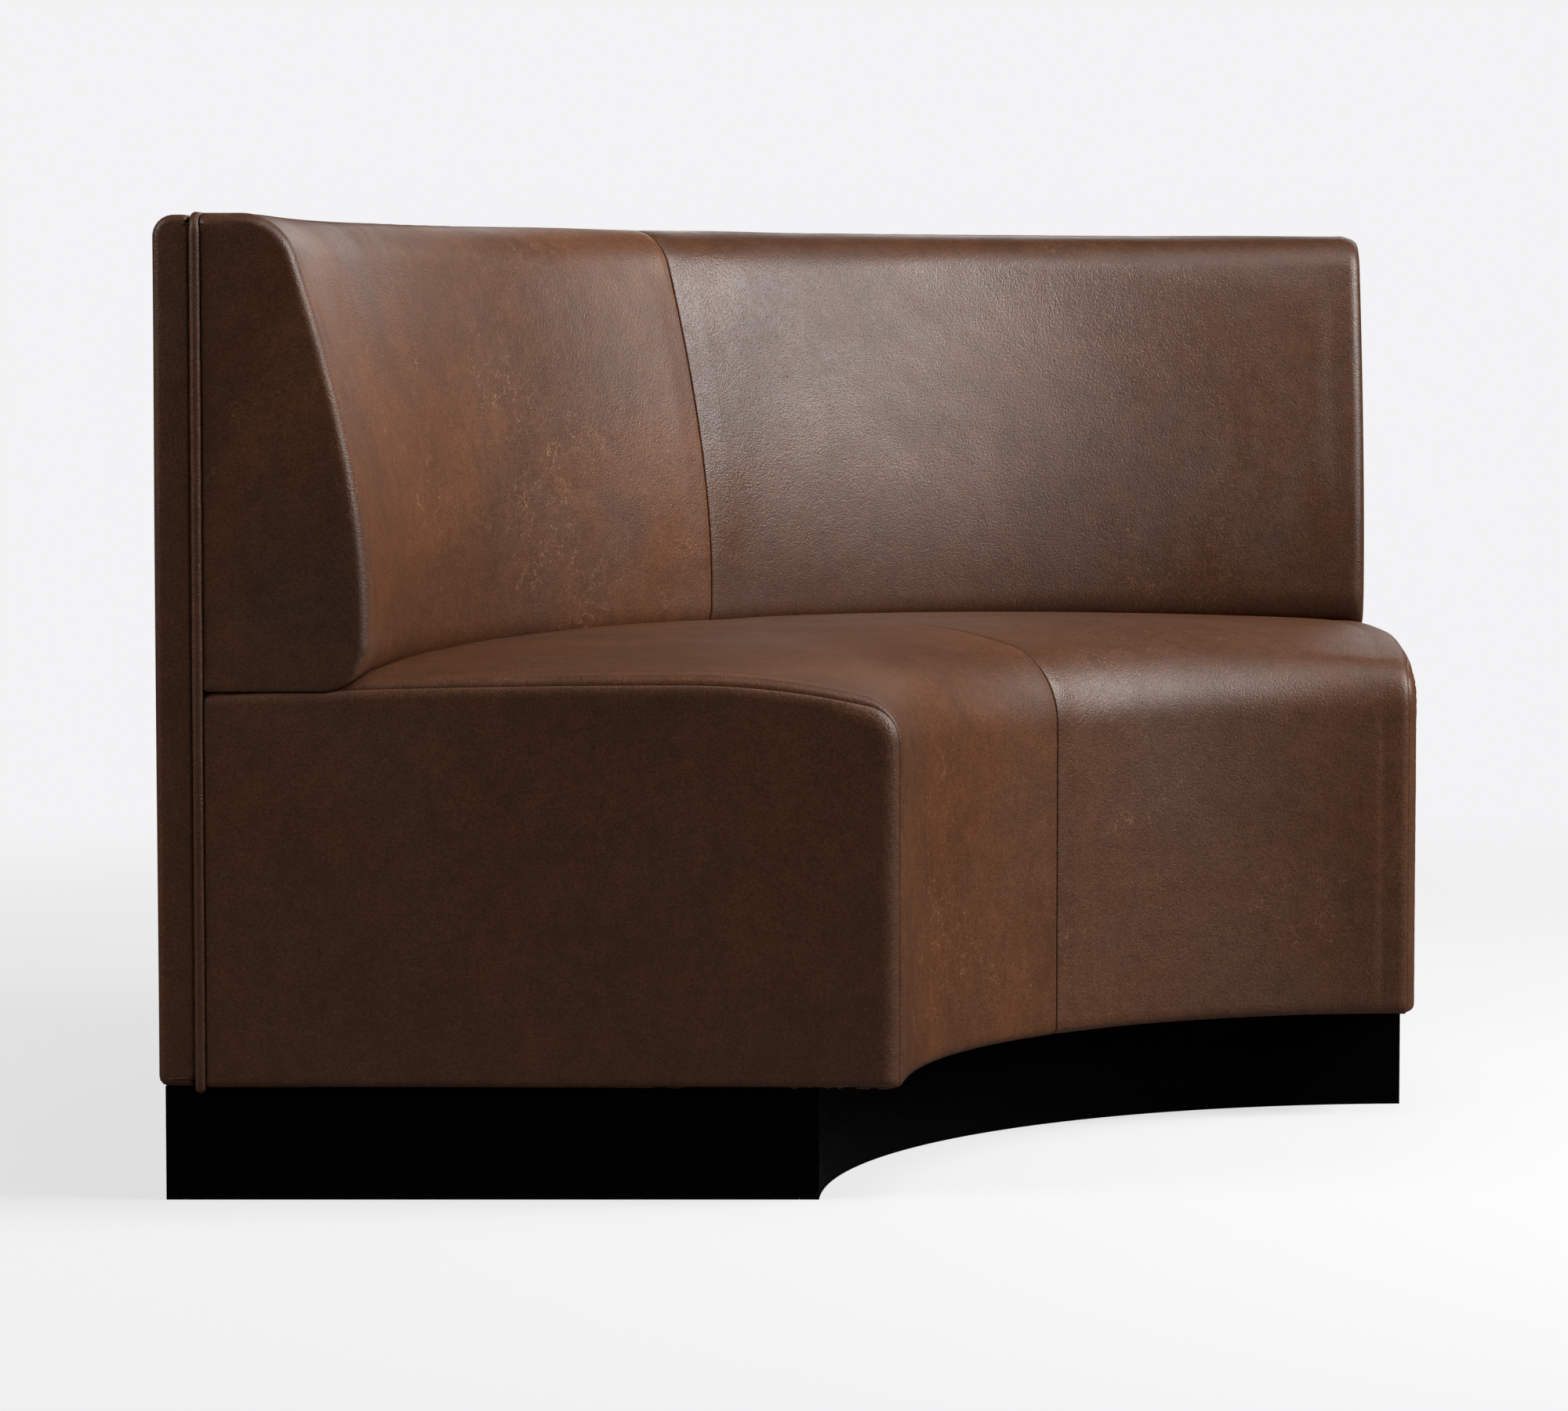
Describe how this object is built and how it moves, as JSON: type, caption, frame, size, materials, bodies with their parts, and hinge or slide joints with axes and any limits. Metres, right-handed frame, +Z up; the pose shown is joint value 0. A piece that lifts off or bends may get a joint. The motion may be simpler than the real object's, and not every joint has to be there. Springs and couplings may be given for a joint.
{
  "type": "curved banquette",
  "caption": "Quarter-round upholstered bench with a raked padded back, a crowned seat, a piped outside back and a recessed plinth.",
  "frame": {"origin": "centre of the bounding box at floor level", "axes": "+Z up, the sitter faces -Y, the plane X = 0 is the symmetry plane and the arc centre lies on it in front of the seat"},
  "size_m": [1.7396, 0.8394, 0.9188],
  "materials": {
    "leather": "satin, distressed",
    "black_wood": "black stained, satin",
    "pine": "sawn",
    "plywood": "raw birch plywood",
    "foam": "open-cell polyurethane foam",
    "wadding": "bonded polyester wadding",
    "zinc_steel": "zinc plated"
  },
  "bodies": {
    "root": {"plinth_front_rail": "black_wood", "plinth_rear_rail": "black_wood", "plinth_left_end": "black_wood", "plinth_right_end": "black_wood", "plinth_left_stretcher": "pine", "plinth_center_stretcher": "pine", "plinth_right_stretcher": "pine", "plinth_corner_blocks": "pine", "plinth_screws": "zinc_steel", "base_board": "plywood", "seat_left_end_board": "plywood", "seat_right_end_board": "plywood", "seat_left_rib": "plywood", "seat_center_rib": "plywood", "seat_right_rib": "plywood", "seat_front_panel": "plywood", "seat_rear_rail": "plywood", "seat_step_rail": "plywood", "seat_shelf": "plywood", "seat_deck": "plywood", "deck_screws": "zinc_steel", "seat_foam": "foam", "seat_left_end_padding": "wadding", "seat_right_end_padding": "wadding", "seat_left_cover": "leather", "seat_right_cover": "leather", "seat_left_end_cover": "leather", "seat_right_end_cover": "leather", "back_bottom_plate": "plywood", "back_top_plate": "plywood", "back_left_end_board": "plywood", "back_right_end_board": "plywood", "back_left_rib": "plywood", "back_center_rib": "plywood", "back_right_rib": "plywood", "back_lower_rail": "plywood", "back_upper_rail": "plywood", "back_face_panel": "plywood", "back_foam": "foam", "back_left_end_padding": "wadding", "back_right_end_padding": "wadding", "back_left_cover": "leather", "back_right_cover": "leather", "back_bolts": "zinc_steel", "back_tee_nuts": "zinc_steel", "outside_back_panel": "plywood", "outside_back_padding": "wadding", "outside_back_cover": "leather", "outside_back_screws": "zinc_steel", "welt": "leather"}
  },
  "joints": []
}
